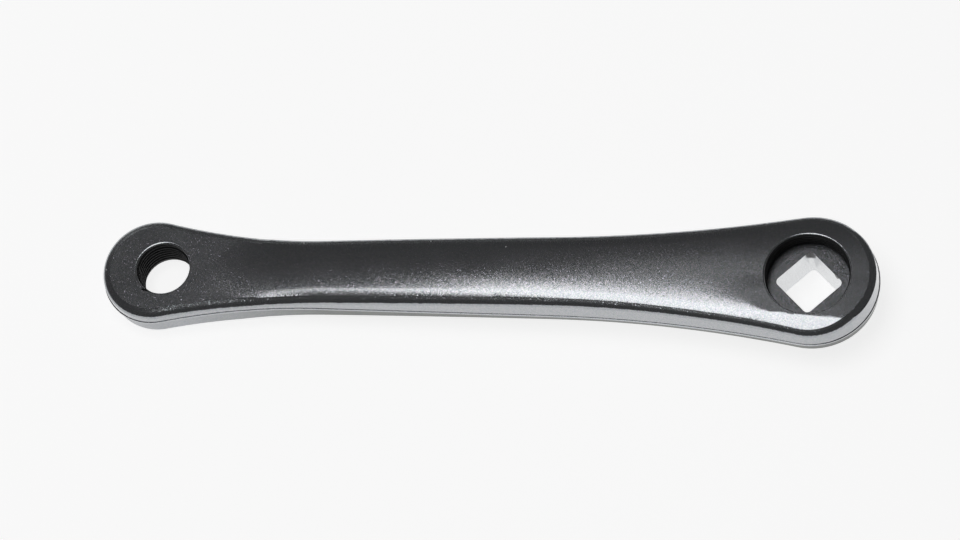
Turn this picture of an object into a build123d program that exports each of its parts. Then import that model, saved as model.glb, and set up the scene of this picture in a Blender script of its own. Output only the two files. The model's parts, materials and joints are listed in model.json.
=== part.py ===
"""Left-hand bicycle crank arm: a one-piece alloy forging with a square-taper spindle socket.

Millimetres. The spindle axis is Z, with the inner face of the boss at z = 0 and the outer face up.
The pedal eye lies along -X. Lying outer face up, the arm rests on the boss and the pedal eye.
"""

import os
from math import cos, degrees, radians, sin, sqrt, tan

from build123d import *

# Lengths and heights of the forging
crank_length = 170.0  # spindle axis to pedal axis
eye_height = 11.0  # thickness of the pedal eye, which stands on z = 0
land_height = 18.5  # flat outer land around the socket
boss_height = 7.8  # step from the seat of the boss up to the inner face of the head
eye_flat_reach = 20.0  # from the pedal axis to where the flats of the eye run into the arm

# Outline, measured at the parting line
eye_radius = 14.1
eye_overhang = 2.6  # the eye's end round is centred this far beyond the pedal axis
head_radius = 17.1
head_overhang = 0.9  # the head's end round is centred this far beyond the spindle axis
flank_width_at_pedal = 17.4  # straight flanks, carried on to the pedal axis
flank_width_at_spindle = 22.6  # straight flanks, carried on to the spindle axis
eye_blend_radius = 180.0  # hollow between eye and flank
head_blend_radius = 380.0  # hollow between flank and head

# Forging draft and parting line
parting_height = 11.8  # at the spindle axis
parting_tilt = 1.6  # degrees, falling towards the pedal
outer_draft = 5.0  # degrees, outside the parting line
inner_draft = 6.0  # degrees, inside the parting line
flash_proud = 0.15  # trimmed flash stands this far out of the parting line
flash_width = 0.5

# Crowned outer face
crown_radius = 50.0  # across the arm
spine_slope = 0.95  # degrees at the spindle axis, falling towards the pedal
crown_rise = 1.4  # top of the crown above the land, at the spindle axis

# Edges
outer_edge_radius = 2.2
inner_edge_radius = 1.5
land_edge_overlap = 0.35  # the round of the land's edge ends this far short of standing upright

# Boss on the inner face
boss_ledge = 3.0  # step from the head's inner edge to the boss
boss_draft = 3.0  # degrees
boss_blend_radius = 1.2
boss_blend_share = 0.8  # most of the flat around the boss that its blend may take
boss_chamfer = 0.6

# Pedal hole, 9/16 inch by 20 threads to the inch, left hand
pedal_hole_diameter = 14.29
pedal_hole_chamfer = 0.45

# Extractor recess, M22 by 1
recess_diameter = 22.0
recess_depth = 6.0
recess_chamfer = 0.4

# Square-taper socket, its corners on X and Y
socket_width = 12.5  # across flats at the recess floor
socket_taper = 2.0  # degrees on each flat, wider towards the inner face
socket_corner_radius = 1.3

# Working values: margin of the bodies that shape the forging, and the least share of a face's
# normal that points down on the inner skin
margin = 12.0
skin_facing = 0.8


def arc_through(center, start, end):
    """An arc about center from start to end, the short way round."""
    radius = (start - center).length
    middle = center + ((start - center) + (end - center)).normalized() * radius
    return ThreePointArc(start, middle, end)


def flank_blend(end_center, end_radius, blend_radius, towards):
    """Hollow arc that meets an end round and the straight flank without a kink.

    Returns its centre, its end on the round and its end on the flank.
    """
    drop = (flank_start - end_center).dot(flank_out)
    reach = sqrt((end_radius + blend_radius) ** 2 - (drop + blend_radius) ** 2)
    center = end_center + flank_out * (drop + blend_radius) + flank_along * (reach * towards)
    on_round = end_center + (center - end_center).normalized() * end_radius
    on_flank = center - flank_out * blend_radius
    return center, on_round, on_flank


def inner_rim(part):
    """Edges around the inner skin of a forging, apart from those between two of its faces."""
    skin = part.faces().filter_by(lambda face: face.normal_at(face.center()).Z < -skin_facing)
    shared = [[edge in face.edges() for face in skin].count(True) for edge in skin.edges()]
    return [edge for edge, count in zip(skin.edges(), shared) if count == 1]


# Outline geometry
eye_center = Vector(-crank_length - eye_overhang, 0)
head_center = Vector(head_overhang, 0)
flank_start = Vector(-crank_length, flank_width_at_pedal / 2)
flank_end = Vector(0, flank_width_at_spindle / 2)
flank_along = (flank_end - flank_start).normalized()
flank_out = Vector(-flank_along.Y, flank_along.X)
eye_tip = eye_center - Vector(eye_radius, 0)
head_tip = head_center + Vector(head_radius, 0)
eye_blend = flank_blend(eye_center, eye_radius, eye_blend_radius, 1)
head_blend = flank_blend(head_center, head_radius, head_blend_radius, -1)

# Spine of the crowned face: a circle in the XZ plane with its top beyond the head. It has the
# given height and slope at the spindle axis, and falls to the flat of the eye at the eye's reach.
bow_length = crank_length - eye_flat_reach
spine_drop = land_height + crown_rise - eye_height
spine_bend = spine_drop * cos(radians(spine_slope)) - bow_length * sin(radians(spine_slope))
spine_radius = (bow_length**2 + spine_drop**2) / (2 * spine_bend)
spine_top_x = spine_radius * sin(radians(spine_slope))
spine_top_z = land_height + crown_rise + spine_radius * (1 - cos(radians(spine_slope)))
spine_axis = Axis((spine_top_x, 0, spine_top_z - spine_radius), (0, -1, 0))
spine_reach = spine_top_x - eye_tip.X + margin
spine_arc = degrees(spine_reach / spine_radius)
half_span = max(eye_radius, head_radius) + margin

# Inner face: a circle in the XZ plane with its top over the boss, running out at the back of the eye
inner_bow_radius = (bow_length**2 + boss_height**2) / (2 * boss_height)

# Head at the level of the land
head_wall = land_height - parting_height
land_center_x = head_overhang - head_wall * tan(radians(parting_tilt))
land_radius = head_radius - head_wall * tan(radians(outer_draft))
cap_height = land_height + margin
cap_foot_radius = land_radius + land_edge_overlap + cap_height * tan(radians(outer_draft))

# Socket and boss
socket_depth = land_height - recess_depth
socket_inner_width = socket_width + 2 * socket_depth * tan(radians(socket_taper))
head_inner_radius = head_radius - (parting_height - boss_height) * tan(radians(inner_draft))
boss_radius = head_inner_radius - boss_ledge - boss_height * tan(radians(boss_draft))
boss_top_radius = boss_radius + socket_depth * tan(radians(boss_draft))
boss_blend = min(boss_blend_radius, boss_blend_share * (boss_ledge - inner_edge_radius))

# Body under the crowned face, which curves along the arm and across it
with BuildPart() as crown:
    with BuildSketch(Plane.YZ.offset(spine_top_x)):
        with BuildLine():
            crown_sag = crown_radius - sqrt(crown_radius**2 - half_span**2)
            left = (-half_span, spine_top_z - crown_sag)
            right = (half_span, spine_top_z - crown_sag)
            ThreePointArc(left, (0, spine_top_z), right)
            Polyline(right, (half_span, -margin), (-half_span, -margin), left)
        make_face()
    revolve(axis=spine_axis, revolution_arc=spine_arc)

# Body under the flat land, with the round of the land's edge
with BuildPart() as cap:
    with BuildSketch(Plane.XY.offset(-margin)):
        with BuildLine():
            cap_back = land_center_x - spine_reach
            right = (land_center_x, -cap_foot_radius)
            left = (land_center_x, cap_foot_radius)
            ThreePointArc(right, (land_center_x + cap_foot_radius, 0), left)
            Polyline(left, (cap_back, cap_foot_radius), (cap_back, -cap_foot_radius), right)
        make_face()
    extrude(amount=cap_height, taper=outer_draft)
    fillet(cap.faces().sort_by(Axis.Z)[-1].edges(), outer_edge_radius)

# Body that hollows the inner face
with BuildPart() as hollow:
    with BuildSketch(Plane.XZ):
        with Locations((0, boss_height - inner_bow_radius)):
            Circle(inner_bow_radius)
    extrude(amount=half_span, both=True)

# Outline of the forging on the parting plane, which falls towards the pedal
tilt = radians(parting_tilt)
parting = Plane(
    origin=(0, 0, parting_height),
    x_dir=(cos(tilt), 0, sin(tilt)),
    z_dir=(-sin(tilt), 0, cos(tilt)),
)
with BuildSketch(parting) as outline:
    with BuildLine():
        arc_through(head_center, head_tip, head_blend[1])
        arc_through(head_blend[0], head_blend[1], head_blend[2])
        Line(head_blend[2], eye_blend[2])
        arc_through(eye_blend[0], eye_blend[2], eye_blend[1])
        arc_through(eye_center, eye_blend[1], eye_tip)
        mirror(about=Plane.XZ)
    make_face()

# Walls of the outer die, carried on past the parting line
die_depth = land_height + margin
with BuildPart() as outer_walls:
    with BuildSketch(parting.offset(-die_depth)):
        offset(outline.sketch_local, amount=die_depth * tan(radians(outer_draft)))
    extrude(amount=2 * die_depth, taper=outer_draft)

# Walls of the inner die, with the bowed inner face and the flat back of the eye
with BuildPart() as inner_form:
    with BuildSketch(parting.offset(die_depth)):
        offset(outline.sketch_local, amount=die_depth * tan(radians(inner_draft)))
    extrude(amount=-2 * die_depth, taper=inner_draft)
    add(hollow.part, mode=Mode.SUBTRACT)
    with Locations((head_tip.X + margin, 0, 0)):
        Box(
            spine_reach + 2 * margin,
            2 * half_span,
            2 * die_depth,
            align=(Align.MAX, Align.CENTER, Align.MIN),
            mode=Mode.INTERSECT,
        )
    fillet(inner_rim(inner_form.part), inner_edge_radius)

# Flat pedal eye, carried on into the arm
with BuildPart() as eye:
    add(outer_walls.part)
    with Locations((-crank_length + 2 * eye_flat_reach, 0, eye_height)):
        Box(
            spine_reach,
            2 * half_span,
            eye_height + margin,
            align=(Align.MAX, Align.CENTER, Align.MAX),
            mode=Mode.INTERSECT,
        )
    eye_rim = eye.faces().sort_by(Axis.Z)[-1].edges().sort_by(Axis.X)[:-1]
    fillet(eye_rim, outer_edge_radius)
    add(inner_form.part, mode=Mode.INTERSECT)

with BuildPart() as crank_arm:
    # Crowned arm with the inner face, the flat land and the flat eye
    add(outer_walls.part)
    add(crown.part, mode=Mode.INTERSECT)
    fillet(crank_arm.faces().sort_by(Axis.Z)[-1].edges(), outer_edge_radius)
    add(inner_form.part, mode=Mode.INTERSECT)
    add(cap.part, mode=Mode.INTERSECT)
    add(eye.part)

    # Trimmed flash along the parting line
    with BuildSketch(parting):
        offset(outline.sketch_local, amount=flash_proud)
    extrude(amount=flash_width / 2, both=True)

    # Boss around the socket, down to the face that seats towards the bicycle
    Cone(boss_radius, boss_top_radius, socket_depth, align=(Align.CENTER, Align.CENTER, Align.MIN))
    boss_root = crank_arm.edges(Select.NEW).filter_by(GeomType.LINE, reverse=True).sort_by(Axis.Z)[-1]
    fillet(boss_root, boss_blend)
    boss_foot = crank_arm.edges().filter_by(GeomType.CIRCLE).sort_by(Axis.Z)[0]
    chamfer(boss_foot, boss_chamfer)

    # Pedal hole, chamfered at both faces
    outer_mouth = Location((-crank_length, 0, eye_height))
    inner_mouth = Location((-crank_length, 0, 0), (180, 0, 0))
    with Locations(outer_mouth, inner_mouth):
        CounterSinkHole(
            pedal_hole_diameter / 2,
            pedal_hole_diameter / 2 + pedal_hole_chamfer,
            counter_sink_angle=90,
        )

    # Extractor recess and its chamfered mouth
    with Locations((0, 0, land_height)):
        Hole(recess_diameter / 2, depth=recess_depth)
        Cone(
            recess_diameter / 2,
            recess_diameter / 2 + recess_chamfer,
            recess_chamfer,
            align=(Align.CENTER, Align.CENTER, Align.MAX),
            mode=Mode.SUBTRACT,
        )

    # Square-taper socket
    with BuildSketch(Plane.XY):
        RectangleRounded(socket_inner_width, socket_inner_width, socket_corner_radius, rotation=45)
    with BuildSketch(Plane.XY.offset(socket_depth)):
        RectangleRounded(socket_width, socket_width, socket_corner_radius, rotation=45)
    loft(mode=Mode.SUBTRACT)

crank_arm.part.label = "crank_arm"
os.makedirs("parts", exist_ok=True)
export_step(crank_arm.part, "parts/crank_arm.step")
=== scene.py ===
import json
from math import cos, pi, radians, sin, sqrt, tan

import bmesh
import bpy
from mathutils import Matrix, Vector
from mathutils.bvhtree import BVHTree
from mathutils.geometry import delaunay_2d_cdt


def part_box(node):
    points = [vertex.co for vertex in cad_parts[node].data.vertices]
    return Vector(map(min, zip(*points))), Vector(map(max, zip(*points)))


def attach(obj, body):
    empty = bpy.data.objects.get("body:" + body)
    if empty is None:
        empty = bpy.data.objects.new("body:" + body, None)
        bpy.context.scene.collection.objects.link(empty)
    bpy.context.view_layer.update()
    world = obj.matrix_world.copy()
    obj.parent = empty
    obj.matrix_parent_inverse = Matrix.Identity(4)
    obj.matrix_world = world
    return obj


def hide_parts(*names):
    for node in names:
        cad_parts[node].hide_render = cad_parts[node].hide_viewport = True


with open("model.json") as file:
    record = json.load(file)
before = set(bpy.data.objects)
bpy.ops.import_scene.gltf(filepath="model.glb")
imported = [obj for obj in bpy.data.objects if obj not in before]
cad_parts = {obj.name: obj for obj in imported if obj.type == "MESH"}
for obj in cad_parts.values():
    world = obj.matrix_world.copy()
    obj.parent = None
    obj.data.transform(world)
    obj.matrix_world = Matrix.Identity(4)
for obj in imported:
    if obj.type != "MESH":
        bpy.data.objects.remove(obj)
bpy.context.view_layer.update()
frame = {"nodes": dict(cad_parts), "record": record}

# The arm lies outer face up, with the spindle axis on Z and the pedal eye towards -X. Metres.
MM = 0.001

# Crowned outer face, as the solid has it
CROWN_RADIUS = 50 * MM
CROWN_RISE = 1.4 * MM
SPINE_SLOPE = radians(0.95)
EYE_FLAT_REACH = 20 * MM

# Parting plane, as the solid has it: its height at the spindle axis, and its rise towards +X
PARTING_Z = 11.8 * MM
PARTING_SLOPE = tan(radians(1.6))

# The forging flows softly from the crown into the flat eye, and into the flat land as far as the
# edge of the land turns crisp. A blend is given by the height over which the two faces merge.
EYE_BLEND = 0.8 * MM
LAND_BLEND = 2.0 * MM
CRISP_LAND_BLEND = 0.02 * MM
CRISP_LAND_X = (-28 * MM, -8 * MM)
CRISP_LAND_Y = (0 * MM, -9 * MM)

# The walls take up the blends' shift between two heights above the parting plane. The wall of the
# recess takes it up from a height above its floor to a depth below the land.
WALL_SHIFT = (0.3 * MM, 1.5 * MM)
RECESS_SHIFT_HEIGHT = 1 * MM
RECESS_SHIFT_DEPTH = 0.6 * MM

# Towards the outer rim the face rolls off, but not at the eye and not around the end of the head.
# The rounded rim takes over from there: it starts tilted, and turns late into the wall.
ROLL_REACH = 2.2 * MM
ROLL_DROP = 0.28 * MM
ROLL_START_X = (-150 * MM, -125 * MM)
ROLL_END_X = (-30 * MM, 6 * MM)
RIM_START_TILT = radians(30)
RIM_LATE_TURN = radians(14)
RIM_ABOVE_PARTING = 1 * MM
WALL_TILT = radians(85)
LEAST_LEAN = 0.05

# Within these radii of the two axes, a rim belongs to a hole
HEAD_HOLE_ZONE = 13 * MM
EYE_HOLE_ZONE = 9.5 * MM

# Mesh of the outer face. A corner's normal is taken a share of the way to the middle of its face.
SKIN_SPACING = 0.6 * MM
GRID_CLEARANCE = 0.5 * SKIN_SPACING
SKIN_TOLERANCE = 0.03 * MM
SKIN_ANGLE = radians(2)
FLAT_NORMAL_Z = 0.9999
CORNER_INSET = 0.1
WELD_DISTANCE = 0.0001 * MM
LAYING_TOLERANCE = 0.001 * MM

# Long edges near the eye's blend are cut, so that the walls can follow it
EYE_BLEND_X = -146 * MM
EYE_BLEND_REACH = 16 * MM
LONG_EDGE = 2 * SKIN_SPACING
LONG_EDGE_CUTS = 3

# Threads: pitch, depth and hand, run-out at each end in turns, and half the width of the root and of
# the crest as shares of the pitch. The root sinks into the wall.
PEDAL_PITCH = 25.4 * MM / 20
PEDAL_THREAD_DEPTH = 0.42 * MM
EXTRACTOR_PITCH = 1.0 * MM
EXTRACTOR_THREAD_DEPTH = 0.45 * MM
RIGHT_HAND = 1
LEFT_HAND = -1
RUN_OUT_TURNS = 0.35
HALF_ROOT = 0.46
HALF_CREST = 0.10
ROOT_SINK = 0.06 * MM
LEAST_THREAD_DEPTH = 0.001 * MM
STEPS_PER_TURN = 96

# Which finish a face has: margins past a hole's wall and above the recess floor, the height above the
# parting plane that the inner paint with its painted shade reaches, and the most that an upright face's
# normal points up
WALL_MARGIN = 0.1 * MM
FLOOR_MARGIN = 0.01 * MM
INNER_PAINTED_SHADE_TOP = -0.225 * MM
UPRIGHT_NORMAL_Z = 0.5

# Noise: its detail, and the range that most of its values are in
NOISE_DETAIL = 3
NOISE_RANGE = (0.3, 0.7)
FULL_RANGE = (0.0, 1.0)

# Paint with metal flakes, which tilt a little, and a rare one more. Roughness and tilts are ranges.
PAINT_COLOR = (0.39, 0.405, 0.425, 1)
PAINT_ROUGHNESS = (0.175, 0.205)
PAINT_METALLIC = 0.92
PAINT_COAT = 1.0
COAT_ROUGHNESS = 0.12
FLAKE_SIZE = 0.2 * MM
FLAKE_TILTS = (0.03, 0.14)
FLAKE_TINT = 0.05
FLAKE_BRIGHTNESS = (0.85, 1.15)
RANDOM_MIDDLE = (0.5, 0.5, 0.5)
SPARKLE_RARITY = 5
PEEL_SIZE = 1.6 * MM
PEEL_STRENGTH = 0.06
PEEL_HEIGHT = 0.02 * MM
GLOSS_PATCH_SIZE = 9 * MM

# Under the flash the paint is duller, and darker by a painted shade: the shade of the floor under the
# arm, seen in the lower wall. At the eye it is only duller. On the floor of the recess it is duller
# too, with livelier flakes, and darker by a painted shade for the shade in the recess.
INNER_PAINTED_SHADE_COLOR = (0.15, 0.158, 0.15, 1)
INNER_COAT = 0.0
EYE_PAINT_X = (-165 * MM, -125 * MM)
DULL_ROUGHNESS = (0.30, 0.36)
RECESS_PAINTED_SHADE_COLOR = (0.24, 0.25, 0.26, 1)
RECESS_FLAKE_TILTS = (0.08, 0.5)
RECESS_COAT = 0.5

# Broached aluminium of the socket, with fine lines along the spindle axis
METAL_COLORS = ((0.70, 0.71, 0.72, 1), (0.86, 0.87, 0.88, 1))
METAL_ROUGHNESS = (0.24, 0.36)
BROACH_LINE_SIZE = 0.25 * MM
BROACH_SQUEEZE = (1.0, 1.0, 0.06)
BROACH_STRENGTH = 0.35
BROACH_HEIGHT = 0.01 * MM

# Dull threaded walls, near-black: a painted shade for the shade inside the holes
THREAD_PAINTED_SHADE_COLORS = ((0.010, 0.010, 0.011, 1), (0.026, 0.027, 0.028, 1))
THREAD_ROUGHNESS = (0.50, 0.62)
THREAD_METALLIC = 0.2
THREAD_LUMP_SIZE = 1.5 * MM

# Dark marks that the photograph shows: centre and radii, in millimetres. There is a dark patch in a
# corner of the socket, and there are nicks at the edge of the socket, at the pedal hole and on the side.
MARK_COLOR = (0.012, 0.012, 0.013, 1)
SOCKET_MARKS = (((0, 9.0, 12.5), (2.0, 2.0, 4.0)), ((6.9, 1.9, 12.4), (0.8, 0.8, 1.4)))
PAINT_MARKS = (((-173.6, -6.3, 11), (1.4, 0.5, 0.6)),)
INNER_MARKS = (((-15.0, -13.8, 8.5), (0.45, 1.5, 0.5)),)
SPOT_EDGE = (0.85, 1.1)

# Specks of dust on the outer face: centres and radii, in millimetres
DUST_COLOR = (0.75, 0.76, 0.76, 1)
DUST_RADII = (0.22, 0.22, 0.6)
DUST_CENTERS = (
    (-132.7, 7.8, 12),
    (-98.4, 8, 14.9),
    (-78.2, 6.1, 16.5),
    (-92.8, -9.2, 15),
    (-185.3, -0.8, 11),
)

# White table, and a room that is white near the horizon and dim overhead. The room's two heights are
# the Z of the direction looked in.
FLOOR_SIZE = 8
FLOOR_COLOR = (0.55, 0.55, 0.55, 1)
FLOOR_GLOW = 0.80
WHITE = (1, 1, 1, 1)
HORIZON_Z = 0.06
OVERHEAD_Z = 0.20
OVERHEAD_COLOR = (0.055, 0.055, 0.055, 1)

# Soft elliptic lamps overhead: name, centre and size along X and Y, and radiance
LAMP_Z = 1.2
LAMPS = (
    ("softbox", (-0.24, -0.04), (0.60, 0.84), 2.15),
    ("upper", (-0.44, 0.20), (0.14, 0.34), 0.65),
    ("side", (-0.60, 0.05), (0.22, 0.26), 1.1),
    ("fill", (-0.20, 0.50), (0.20, 0.22), 0.27),
)

# Photograph's view: the point looked at, the camera's place as tangents from straight above,
# its distance, its roll, its focal length and the middle of the picture, in pixels
IMAGE_WIDTH = 960
IMAGE_HEIGHT = 540
VIEW_TARGET = Vector((-85 * MM, 0, 12 * MM))
VIEW_TANGENTS = (0.1901, -0.44)
VIEW_DISTANCE = 932.85 * MM
VIEW_ROLL = 0.1011
FOCAL_PIXELS = 3605
MIDDLE_PIXEL = (480.4, 274.6)

# Places on the arm, from the frame
arm = frame["nodes"]["crank_arm"]
mounts = {mount["name"]: mount for mount in frame["record"]["mounts"]}
low, high = (Vector(corner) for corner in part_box("crank_arm"))
pedal_axis = Vector(mounts["pedal_thread"]["pos_m"]).xy
pedal_hole_zone = mounts["pedal_thread"]["dims"]["r_mm"] * MM + WALL_MARGIN
recess_zone = mounts["extractor_thread"]["dims"]["r_mm"] * MM + WALL_MARGIN
eye_z = mounts["pedal_seat"]["pos_m"][2]
land_z = high.z
recess_floor_z = mounts["bolt_seat"]["pos_m"][2]

# Arc of the crown's spine, from over the spindle axis down to the flat of the eye: radius and centre
spine_reach = -pedal_axis.x - EYE_FLAT_REACH
spine_drop = land_z + CROWN_RISE - eye_z
spine_bend = spine_drop * cos(SPINE_SLOPE) - spine_reach * sin(SPINE_SLOPE)
spine_radius = (spine_reach**2 + spine_drop**2) / (2 * spine_bend)
spine_x = spine_radius * sin(SPINE_SLOPE)
spine_z = land_z + CROWN_RISE - spine_radius * cos(SPINE_SLOPE)


# Shader nodes


def new_material(name):
    """A material with its node tree and its principled shader."""
    material = bpy.data.materials.new(name)
    material.use_nodes = True
    tree = material.node_tree
    return material, tree, tree.nodes["Principled BSDF"]


def feed(tree, value, socket):
    """Give an input its value: an output is linked, and a constant is set."""
    if isinstance(value, bpy.types.NodeSocket):
        tree.links.new(value, socket)
    else:
        socket.default_value = value


def add_node(tree, kind, settings=None, values=None):
    """A node with its settings, and with its inputs' values by their place or name."""
    node = tree.nodes.new(kind)
    for name, value in (settings or {}).items():
        setattr(node, name, value)
    for socket, value in (values or {}).items():
        feed(tree, value, node.inputs[socket])
    return node


def vector_math(tree, operation, values):
    """Result of a vector operation, which is a number for a length."""
    node = add_node(tree, "ShaderNodeVectorMath", {"operation": operation}, values)
    return node.outputs["Value" if operation == "LENGTH" else "Vector"]


def object_place(tree):
    """Place on the arm, in metres in the arm's own frame."""
    return tree.nodes.new("ShaderNodeTexCoord").outputs["Object"]


def axis_part(tree, vector, axis):
    """One axis of a vector."""
    return add_node(tree, "ShaderNodeSeparateXYZ", values={0: vector}).outputs[axis]


def color_part(tree, color, channel):
    """One channel of a colour."""
    return add_node(tree, "ShaderNodeSeparateColor", values={"Color": color}).outputs[channel]


def remap(tree, value, source, target):
    """The value moved from one range to another, and held inside it."""
    ranges = {"From Min": source[0], "From Max": source[1], "To Min": target[0], "To Max": target[1]}
    node = add_node(tree, "ShaderNodeMapRange", values={"Value": value, **ranges})
    return node.outputs["Result"]


def largest(tree, values):
    """The largest of several values."""
    result = values[0]
    for value in values[1:]:
        node = add_node(tree, "ShaderNodeMath", {"operation": "MAXIMUM"}, {0: result, 1: value})
        result = node.outputs[0]
    return result


def mix_colors(tree, share, first, second):
    """One colour laid over another, by a share of the second."""
    node = add_node(tree, "ShaderNodeMix", {"data_type": "RGBA"}, {0: share, 6: first, 7: second})
    return node.outputs[2]


def noise(tree, place, size):
    """Smooth noise from 0 to 1 with lumps of about the given size."""
    values = {"Vector": place, "Scale": 1 / size, "Detail": NOISE_DETAIL}
    return add_node(tree, "ShaderNodeTexNoise", values=values).outputs["Fac"]


def bump(tree, height, strength, distance):
    """A bump node for a height from 0 to 1 that stands for a distance."""
    values = {"Height": height, "Strength": strength, "Distance": distance}
    return add_node(tree, "ShaderNodeBump", values=values)


def spots(tree, place, marks):
    """1 inside ellipsoids on the arm and 0 outside them, with a soft edge. Millimetres."""
    shares = []
    for center, radii in marks:
        offset = vector_math(tree, "SUBTRACT", {0: place, 1: Vector(center) * MM})
        scaled = vector_math(tree, "DIVIDE", {0: offset, 1: Vector(radii) * MM})
        distance = vector_math(tree, "LENGTH", {0: scaled})
        shares.append(remap(tree, distance, SPOT_EDGE, (1.0, 0.0)))
    return largest(tree, shares)


# Finishes


def flakes(tree, place, tilts):
    """Metal flakes in the paint: a random colour for each flake, and the tilted normal."""
    cells = add_node(tree, "ShaderNodeTexVoronoi", values={"Vector": place, "Scale": 1 / FLAKE_SIZE})
    color = cells.outputs["Color"]
    chance = color_part(tree, color, "Blue")
    rare = add_node(tree, "ShaderNodeMath", {"operation": "POWER"}, {0: chance, 1: SPARKLE_RARITY})
    tilt = remap(tree, rare.outputs[0], FULL_RANGE, tilts)
    centred = vector_math(tree, "SUBTRACT", {0: color, 1: RANDOM_MIDDLE})
    lean = vector_math(tree, "SCALE", {0: centred, "Scale": tilt})
    normal = tree.nodes.new("ShaderNodeNewGeometry").outputs["Normal"]
    leaning = vector_math(tree, "ADD", {0: normal, 1: lean})
    return color, vector_math(tree, "NORMALIZE", {0: leaning})


def paint_material(name, color, roughness, coat, tilts, marks=(), dust=(), eye_color=None):
    """Metallic paint with flakes, a faint orange peel, patches of gloss, dark marks and dust."""
    material, tree, shader = new_material(name)
    place = object_place(tree)
    flake_color, flake_normal = flakes(tree, place, tilts)
    if eye_color:
        eye_share = remap(tree, axis_part(tree, place, "X"), EYE_PAINT_X, (1.0, 0.0))
        color = mix_colors(tree, eye_share, color, eye_color)
    color = mix_colors(tree, FLAKE_TINT, color, flake_color)
    brightness = remap(tree, color_part(tree, flake_color, "Red"), FULL_RANGE, FLAKE_BRIGHTNESS)
    color = vector_math(tree, "SCALE", {0: color, "Scale": brightness})
    metallic = PAINT_METALLIC
    if marks:
        color = mix_colors(tree, spots(tree, place, marks), color, MARK_COLOR)
    if dust:
        dust_share = spots(tree, place, dust)
        color = mix_colors(tree, dust_share, color, DUST_COLOR)
        metallic = remap(tree, dust_share, FULL_RANGE, (PAINT_METALLIC, 0.0))
    peel = bump(tree, noise(tree, place, PEEL_SIZE), PEEL_STRENGTH, PEEL_HEIGHT)
    feed(tree, flake_normal, peel.inputs["Normal"])
    gloss = remap(tree, noise(tree, place, GLOSS_PATCH_SIZE), NOISE_RANGE, roughness)
    feed(tree, color, shader.inputs["Base Color"])
    feed(tree, metallic, shader.inputs["Metallic"])
    feed(tree, gloss, shader.inputs["Roughness"])
    feed(tree, peel.outputs["Normal"], shader.inputs["Normal"])
    feed(tree, coat, shader.inputs["Coat Weight"])
    feed(tree, COAT_ROUGHNESS, shader.inputs["Coat Roughness"])
    return material


def bare_metal_material():
    """Broached aluminium on the flats of the socket."""
    material, tree, shader = new_material("bare_aluminium")
    place = object_place(tree)
    squeezed = add_node(tree, "ShaderNodeMapping", values={"Vector": place, "Scale": BROACH_SQUEEZE})
    lines = noise(tree, squeezed.outputs["Vector"], BROACH_LINE_SIZE)
    grooves = bump(tree, lines, BROACH_STRENGTH, BROACH_HEIGHT)
    color = mix_colors(tree, lines, *METAL_COLORS)
    color = mix_colors(tree, spots(tree, place, SOCKET_MARKS), color, MARK_COLOR)
    feed(tree, color, shader.inputs["Base Color"])
    feed(tree, 1.0, shader.inputs["Metallic"])
    feed(tree, remap(tree, lines, NOISE_RANGE, METAL_ROUGHNESS), shader.inputs["Roughness"])
    feed(tree, grooves.outputs["Normal"], shader.inputs["Normal"])
    return material


def thread_painted_shade_material():
    """Dull threaded walls, near-black as a painted shade for the shade inside the holes."""
    material, tree, shader = new_material("thread_painted_shade")
    lumps = noise(tree, object_place(tree), THREAD_LUMP_SIZE)
    feed(tree, mix_colors(tree, lumps, *THREAD_PAINTED_SHADE_COLORS), shader.inputs["Base Color"])
    feed(tree, THREAD_METALLIC, shader.inputs["Metallic"])
    feed(tree, remap(tree, lumps, NOISE_RANGE, THREAD_ROUGHNESS), shader.inputs["Roughness"])
    return material


def floor_material():
    """White table that keeps a soft shadow. It glows only where it is seen, and lights nothing."""
    material, tree, shader = new_material("white_floor")
    tree.nodes.remove(shader)
    path = tree.nodes.new("ShaderNodeLightPath")
    rays = ("Is Camera Ray", "Is Glossy Ray", "Is Transmission Ray")
    seen = largest(tree, [path.outputs[ray] for ray in rays])
    strength = remap(tree, seen, FULL_RANGE, (0.0, FLOOR_GLOW))
    diffuse = add_node(tree, "ShaderNodeBsdfDiffuse", values={"Color": FLOOR_COLOR})
    glow = add_node(tree, "ShaderNodeEmission", values={"Color": WHITE, "Strength": strength})
    both = add_node(tree, "ShaderNodeAddShader", values={0: diffuse.outputs[0], 1: glow.outputs[0]})
    feed(tree, both.outputs[0], tree.nodes["Material Output"].inputs["Surface"])
    return material


# Heights and normals of the outer face


def ease(value, start, end):
    """0 before start, 1 after end, and a smooth step between."""
    share = min(1.0, max(0.0, (value - start) / (end - start)))
    return share * share * (3 - 2 * share)


def crown_height(x, y):
    """Height of the crowned face, which curves along the arm and across it."""
    ring = spine_radius - CROWN_RADIUS + sqrt(CROWN_RADIUS**2 - y**2)
    return spine_z + sqrt(ring**2 - (x - spine_x) ** 2)


def solid_height(x, y):
    """Height of the solid's outer face: crown, flat eye and flat land."""
    return min(max(crown_height(x, y), eye_z), land_z)


def skin_height(x, y):
    """Height of the outer face with its soft blends."""
    crown = crown_height(x, y)
    merge = max(0.0, EYE_BLEND - abs(crown - eye_z))
    height = max(crown, eye_z) + merge**2 / (4 * EYE_BLEND)
    crisp = ease(x, *CRISP_LAND_X) * ease(y, *CRISP_LAND_Y)
    blend = LAND_BLEND + (CRISP_LAND_BLEND - LAND_BLEND) * crisp
    merge = max(0.0, blend - abs(height - land_z))
    return min(height, land_z) - merge**2 / (4 * blend)


def blend_shift(x, y):
    """How far the soft blends move the outer face."""
    return skin_height(x, y) - solid_height(x, y)


def rim_drop(x):
    """How far the roll-off lowers the rim."""
    return ROLL_DROP * ease(x, *ROLL_START_X) * (1 - ease(x, *ROLL_END_X))


def above_parting(point):
    """Height above the parting plane."""
    return point.z - PARTING_Z - point.x * PARTING_SLOPE


def is_outer(point):
    """Whether a point is clear of both holes."""
    return point.xy.length > HEAD_HOLE_ZONE and (point.xy - pedal_axis).length > EYE_HOLE_ZONE


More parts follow.
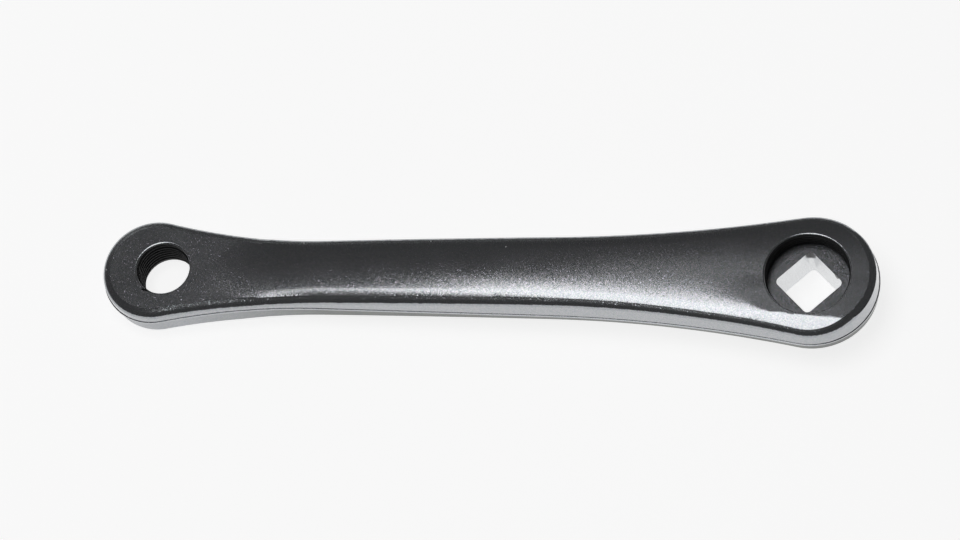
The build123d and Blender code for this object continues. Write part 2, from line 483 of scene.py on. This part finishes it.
def shift_share(point):
    """How much of the outer face's shift a point of the solid takes."""
    share = ease(above_parting(point), *WALL_SHIFT)
    if point.xy.length < recess_zone:
        share *= ease(point.z, recess_floor_z + RECESS_SHIFT_HEIGHT, land_z - RECESS_SHIFT_DEPTH)
    return share


def slope(height, x, y):
    """Slope of a height along X and along Y."""
    step = 0.01 * MM
    along = (height(x + step, y) - height(x - step, y)) / (2 * step)
    across = (height(x, y + step) - height(x, y - step)) / (2 * step)
    return along, across


def skin_normal(height, point):
    """Normal of the outer face, given its height."""
    along, across = slope(height, point.x, point.y)
    return Vector((-along, -across, 1)).normalized()


def shifted_normal(normal, point):
    """A normal of the solid, turned with the soft blends."""
    share = shift_share(point)
    along, across = slope(blend_shift, point.x, point.y)
    turned = (normal.x - normal.z * share * along, normal.y - normal.z * share * across, normal.z)
    return Vector(turned).normalized()


def rim_normal(normal, face_normal):
    """A normal of the solid's rounded rim, tilted at its start and turned late at its end."""
    # A normal that hardly leans takes its direction from the face
    leaning = normal if normal.xy.length > LEAST_LEAN else face_normal
    outward = leaning.xy.normalized()
    tilt = normal.angle(Vector((0, 0, 1)))
    share = min(1.0, tilt / WALL_TILT)
    tilt += RIM_START_TILT * (1 - share) ** 3 - RIM_LATE_TURN * sin(pi * share)
    return Vector((outward.x * sin(tilt), outward.y * sin(tilt), cos(tilt)))


def rolled_face(rim_lines):
    """The height of the outer face with its soft blends and its roll-off, as a function."""
    corners = []
    strips = []
    for start, end in rim_lines:
        if is_outer(start) and is_outer(end):
            strips.append(tuple(range(len(corners), len(corners) + 4)))
            corners += [(*start, -1), (*end, -1), (*end, 1), (*start, 1)]
    rim = BVHTree.FromPolygons(corners, strips)

    def rolled_height(x, y):
        """Height of the outer face at a place."""
        distance = rim.find_nearest((x, y, 0))[3]
        share = max(0.0, 1 - distance / ROLL_REACH)
        return skin_height(x, y) - rim_drop(x) * share**2

    return rolled_height


# Mesh of the arm


def new_piece(name, mesh):
    """An object of the scene, made of a finished mesh."""
    data = bpy.data.meshes.new(name)
    mesh.to_mesh(data)
    mesh.free()
    piece = bpy.data.objects.new(name, data)
    bpy.context.collection.objects.link(piece)
    return piece


def on_skin(face):
    """Whether a face of the solid lies on its outer face, inside the rounded rim."""
    if any(abs(vert.co.z - solid_height(vert.co.x, vert.co.y)) > SKIN_TOLERANCE for vert in face.verts):
        return False
    return face.normal.angle(skin_normal(solid_height, face.calc_center_median())) < SKIN_ANGLE


def near_eye_blend(point):
    """Whether a point is on the walls or the outer face, near the blend into the eye."""
    return above_parting(point) > 0 and abs(point.x - EYE_BLEND_X) < EYE_BLEND_REACH


def solid_mesh():
    """The solid's mesh, welded and triangulated, with its corner normals and its outer face marked."""
    mesh = bmesh.new()
    mesh.from_mesh(arm.data)
    solid_normal = mesh.loops.layers.float_vector.new("solid_normal")
    corners = [corner.vector.copy() for corner in arm.data.corner_normals]
    for face, polygon in zip(mesh.faces, arm.data.polygons):
        for loop, corner in zip(face.loops, polygon.loop_indices):
            loop[solid_normal] = corners[corner]
    bmesh.ops.remove_doubles(mesh, verts=mesh.verts, dist=WELD_DISTANCE)
    skin_mark = mesh.faces.layers.int.new("skin")
    for face in mesh.faces:
        face[skin_mark] = on_skin(face)
    long_edges = [
        edge
        for edge in mesh.edges
        if edge.calc_length() > LONG_EDGE and all(near_eye_blend(vert.co) for vert in edge.verts)
    ]
    bmesh.ops.subdivide_edges(mesh, edges=long_edges, cuts=LONG_EDGE_CUTS, use_grid_fill=True)
    bmesh.ops.triangulate(mesh, faces=mesh.faces)
    return mesh


def is_crisp(edge, skin):
    """Whether an edge is part of the crisp edge of the land."""
    lean = [face.normal.z for face in edge.link_faces]
    return (
        skin.issuperset(edge.link_faces)
        and min(lean) < FLAT_NORMAL_Z < max(lean)
        and all(abs(vert.co.z - land_z) < SKIN_TOLERANCE for vert in edge.verts)
        and all(vert.co.x > CRISP_LAND_X[1] and vert.co.y < CRISP_LAND_Y[1] for vert in edge.verts)
    )


def take_off_skin(mesh):
    """Delete the outer face. The edges of its rim, and the lines of the land's crisp edge, are kept."""
    skin_mark = mesh.faces.layers.int["skin"]
    skin = {face for face in mesh.faces if face[skin_mark]}
    rim_edges = [edge for edge in mesh.edges if len(skin.intersection(edge.link_faces)) == 1]
    crisp_lines = [[vert.co.xy for vert in edge.verts] for edge in mesh.edges if is_crisp(edge, skin)]
    bmesh.ops.delete(mesh, geom=list(skin), context="FACES")
    return rim_edges, crisp_lines


def shift_solid(mesh):
    """Let what is left of the solid follow the soft blends and the roll-off."""
    for vert in mesh.verts:
        shift = blend_shift(vert.co.x, vert.co.y)
        if is_outer(vert.co):
            shift -= rim_drop(vert.co.x)
        vert.co.z += shift * shift_share(vert.co)


def inside(point, lines):
    """Whether a point lies inside closed outlines, holes apart. Lines are pairs of ends."""
    crossings = 0
    for start, end in lines:
        if (start.y > point.y) != (end.y > point.y):
            cross_x = start.x + (point.y - start.y) * (end.x - start.x) / (end.y - start.y)
            crossings += cross_x > point.x
    return crossings % 2 == 1


def clear_of(point, lines, distance):
    """Whether a point keeps its distance from every line."""
    for start, end in lines:
        share = (point - start).dot(end - start) / (end - start).length_squared
        nearest = start.lerp(end, min(1.0, max(0.0, share)))
        if (point - nearest).length < distance:
            return False
    return True


def skin_grid(rim_lines, crisp_lines):
    """Points of a grid over the outer face, clear of its rim and of the land's crisp edge."""
    columns = range(round(low.x / SKIN_SPACING), round(high.x / SKIN_SPACING) + 1)
    rows = range(round(low.y / SKIN_SPACING), round(high.y / SKIN_SPACING) + 1)
    grid = [Vector((column, row)) * SKIN_SPACING for column in columns for row in rows]
    grid = [point for point in grid if inside(point, rim_lines)]
    return [point for point in grid if clear_of(point, rim_lines + crisp_lines, GRID_CLEARANCE)]


def lay_skin(mesh, rim_edges, rim_lines, crisp_lines, height):
    """Lay a fine outer face in its rim, with an edge on each crisp line. Its faces are given back."""
    rim = list(dict.fromkeys(vert for edge in rim_edges for vert in edge.verts))
    place = {vert: i for i, vert in enumerate(rim)}
    points = [vert.co.xy for vert in rim] + [end for line in crisp_lines for end in line]
    lines = [tuple(place[vert] for vert in edge.verts) for edge in rim_edges]
    lines += [(i, i + 1) for i in range(len(rim), len(points), 2)]
    points += skin_grid(rim_lines, crisp_lines)
    laid, _, triangles, origins, _, _ = delaunay_2d_cdt(points, lines, [], 0, LAYING_TOLERANCE)
    verts = [
        rim[min(origin)] if min(origin) < len(rim) else mesh.verts.new((*point, height(*point)))
        for point, origin in zip(laid, origins)
    ]
    skin = set()
    for triangle in triangles:
        middle = sum((laid[i] for i in triangle), Vector((0, 0))) / 3
        if inside(middle, rim_lines):
            skin.add(mesh.faces.new([verts[i] for i in triangle]))
    return skin


def corner_normals(mesh, skin, rim, height):
    """Normals at the corners: the outer face and its rounded rim have their own, the rest the solid's."""
    solid_normal = mesh.loops.layers.float_vector["solid_normal"]
    mesh.normal_update()
    normals = []
    for face in mesh.faces:
        middle = face.calc_center_median()
        for loop in face.loops:
            point = loop.vert.co
            if face in skin:
                normals.append(skin_normal(height, point.lerp(middle, CORNER_INSET)))
            elif is_outer(point) and above_parting(point) > RIM_ABOVE_PARTING:
                normals.append(rim_normal(shifted_normal(loop[solid_normal], point), face.normal))
            elif loop.vert in rim:
                normals.append(skin_normal(skin_height, point))
            else:
                normals.append(shifted_normal(loop[solid_normal], point))
    return normals


def forging():
    """The arm, with a fine outer face that has soft blends and a roll-off."""
    mesh = solid_mesh()
    rim_edges, crisp_lines = take_off_skin(mesh)
    rim_lines = [[vert.co.xy for vert in edge.verts] for edge in rim_edges]
    height = rolled_face(rim_lines)
    shift_solid(mesh)
    skin = lay_skin(mesh, rim_edges, rim_lines, crisp_lines, height)
    rim = {vert for edge in rim_edges for vert in edge.verts}
    normals = corner_normals(mesh, skin, rim, height)
    for face in mesh.faces:
        face.smooth = True
    piece = new_piece("forging", mesh)
    piece.data.normals_split_custom_set(normals)
    return piece


def finish_of(polygon):
    """Name of the finish that a face of the arm has."""
    middle = polygon.center
    upright = abs(polygon.normal.z) < UPRIGHT_NORMAL_Z
    in_recess = middle.xy.length < recess_zone
    # The threaded walls of the holes are near-black as a painted shade; the socket's flats are bare metal
    if upright and in_recess:
        return "bare_metal" if middle.z < recess_floor_z else "thread"
    if upright and (middle.xy - pedal_axis).length < pedal_hole_zone:
        return "thread"
    # Below the flash: duller paint, darker as a painted shade of the floor under the arm
    if above_parting(middle) < INNER_PAINTED_SHADE_TOP:
        return "inner_paint_and_painted_shade"
    # Floor of the recess: duller paint, darker as a painted shade
    if in_recess and middle.z < recess_floor_z + FLOOR_MARGIN:
        return "recess_paint_and_painted_shade"
    return "paint"


def thread_ridge(name, mount, pitch, depth, hand):
    """A helical ridge on the wall of a threaded hole, run out at both ends."""
    center = Vector(mount["pos_m"])
    root = mount["dims"]["r_mm"] * MM + ROOT_SINK
    length = mount["dims"]["length_mm"] * MM - pitch
    turns = length / pitch
    steps = round(turns * STEPS_PER_TURN)
    mesh = bmesh.new()
    rings = []
    for step in range(steps + 1):
        turn = turns * step / steps
        outward = Vector((cos(2 * pi * turn), hand * sin(2 * pi * turn), 0))
        fade = min(1.0, turn / RUN_OUT_TURNS, (turns - turn) / RUN_OUT_TURNS)
        crest = root - (depth + ROOT_SINK) * fade - LEAST_THREAD_DEPTH
        height = pitch * turn - length / 2
        section = ((root, -HALF_ROOT), (crest, -HALF_CREST), (crest, HALF_CREST), (root, HALF_ROOT))
        places = [outward * radius + Vector((0, 0, height + share * pitch)) for radius, share in section]
        rings.append([mesh.verts.new(center + place) for place in places])
    for ring, after in zip(rings, rings[1:]):
        for i in range(len(ring)):
            j = (i + 1) % len(ring)
            mesh.faces.new((ring[i], ring[j], after[j], after[i]))
    mesh.faces.new(rings[0])
    mesh.faces.new(reversed(rings[-1]))
    bmesh.ops.recalc_face_normals(mesh, faces=mesh.faces)
    return new_piece(name, mesh)


# Studio


def light_room():
    """A room that is white at the horizon and dim overhead."""
    world = bpy.data.worlds.new("room")
    world.use_nodes = True
    tree = world.node_tree
    direction = tree.nodes.new("ShaderNodeTexCoord").outputs["Generated"]
    ramp = add_node(tree, "ShaderNodeValToRGB", values={"Fac": axis_part(tree, direction, "Z")})
    horizon, overhead = ramp.color_ramp.elements
    horizon.position = HORIZON_Z
    horizon.color = WHITE
    overhead.position = OVERHEAD_Z
    overhead.color = OVERHEAD_COLOR
    feed(tree, ramp.outputs["Color"], tree.nodes["Background"].inputs["Color"])
    bpy.context.scene.world = world


def lay_floor():
    """The table under the arm."""
    bpy.ops.mesh.primitive_plane_add(size=FLOOR_SIZE, location=(0, 0, low.z))
    floor = bpy.context.object
    floor.name = "floor"
    floor.data.materials.append(floor_material())
    return floor


def hang_lamp(name, center, size, radiance):
    """A soft elliptic lamp overhead that shines straight down."""
    data = bpy.data.lights.new(name, "AREA")
    data.shape = "ELLIPSE"
    data.size, data.size_y = size
    area = pi / 4 * size[0] * size[1]
    data.energy = radiance * pi * area
    lamp = bpy.data.objects.new(name, data)
    lamp.location = (*center, LAMP_Z)
    lamp.visible_camera = False
    bpy.context.collection.objects.link(lamp)


def photo_camera():
    """A camera at the photograph's angle."""
    backward = Vector((*VIEW_TANGENTS, 1)).normalized()
    level = Vector((0, 1, 0)).cross(backward).normalized()
    steep = backward.cross(level)
    right = level * cos(VIEW_ROLL) + steep * sin(VIEW_ROLL)
    up = steep * cos(VIEW_ROLL) - level * sin(VIEW_ROLL)
    turn = Matrix((right, up, backward)).transposed().to_4x4()
    data = bpy.data.cameras.new("camera")
    data.lens = FOCAL_PIXELS * data.sensor_width / IMAGE_WIDTH
    data.shift_x = (IMAGE_WIDTH / 2 - MIDDLE_PIXEL[0]) / IMAGE_WIDTH
    data.shift_y = (MIDDLE_PIXEL[1] - IMAGE_HEIGHT / 2) / IMAGE_WIDTH
    camera = bpy.data.objects.new("camera", data)
    bpy.context.collection.objects.link(camera)
    camera.matrix_world = Matrix.Translation(VIEW_TARGET + backward * VIEW_DISTANCE) @ turn
    return camera


# The arm with its finishes
dust_specks = [(center, DUST_RADII) for center in DUST_CENTERS]
finishes = {
    "paint": paint_material(
        "charcoal_paint",
        PAINT_COLOR,
        PAINT_ROUGHNESS,
        PAINT_COAT,
        FLAKE_TILTS,
        marks=PAINT_MARKS,
        dust=dust_specks,
    ),
    "bare_metal": bare_metal_material(),
    # Near-black threaded walls: a painted shade for the shade inside the holes
    "thread": thread_painted_shade_material(),
    # Duller paint under the flash, darker as a painted shade of the floor under the arm
    "inner_paint_and_painted_shade": paint_material(
        "inner_paint_and_painted_shade",
        INNER_PAINTED_SHADE_COLOR,
        DULL_ROUGHNESS,
        INNER_COAT,
        FLAKE_TILTS,
        marks=INNER_MARKS,
        eye_color=PAINT_COLOR,
    ),
    # Paint of the recess floor, darker as a painted shade for the shade in the recess
    "recess_paint_and_painted_shade": paint_material(
        "recess_paint_and_painted_shade", RECESS_PAINTED_SHADE_COLOR, DULL_ROUGHNESS, RECESS_COAT, RECESS_FLAKE_TILTS
    ),
}
body = forging()
for finish in finishes.values():
    body.data.materials.append(finish)
finish_names = list(finishes)
for polygon in body.data.polygons:
    polygon.material_index = finish_names.index(finish_of(polygon))
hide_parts("crank_arm")
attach(body, "root")

# Threads of the pedal hole and the extractor recess
for name, mount_name, pitch, depth, hand in (
    ("pedal_thread_ridge", "pedal_thread", PEDAL_PITCH, PEDAL_THREAD_DEPTH, LEFT_HAND),
    ("extractor_thread_ridge", "extractor_thread", EXTRACTOR_PITCH, EXTRACTOR_THREAD_DEPTH, RIGHT_HAND),
):
    ridge = thread_ridge(name, mounts[mount_name], pitch, depth, hand)
    # The ridges take the near-black thread colour, a painted shade
    ridge.data.materials.append(finishes["thread"])
    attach(ridge, "root")

# Table, light and camera
floor = lay_floor()
light_room()
for lamp in LAMPS:
    hang_lamp(*lamp)
bpy.context.scene.camera = photo_camera()
bpy.context.scene.view_settings.view_transform = "Standard"
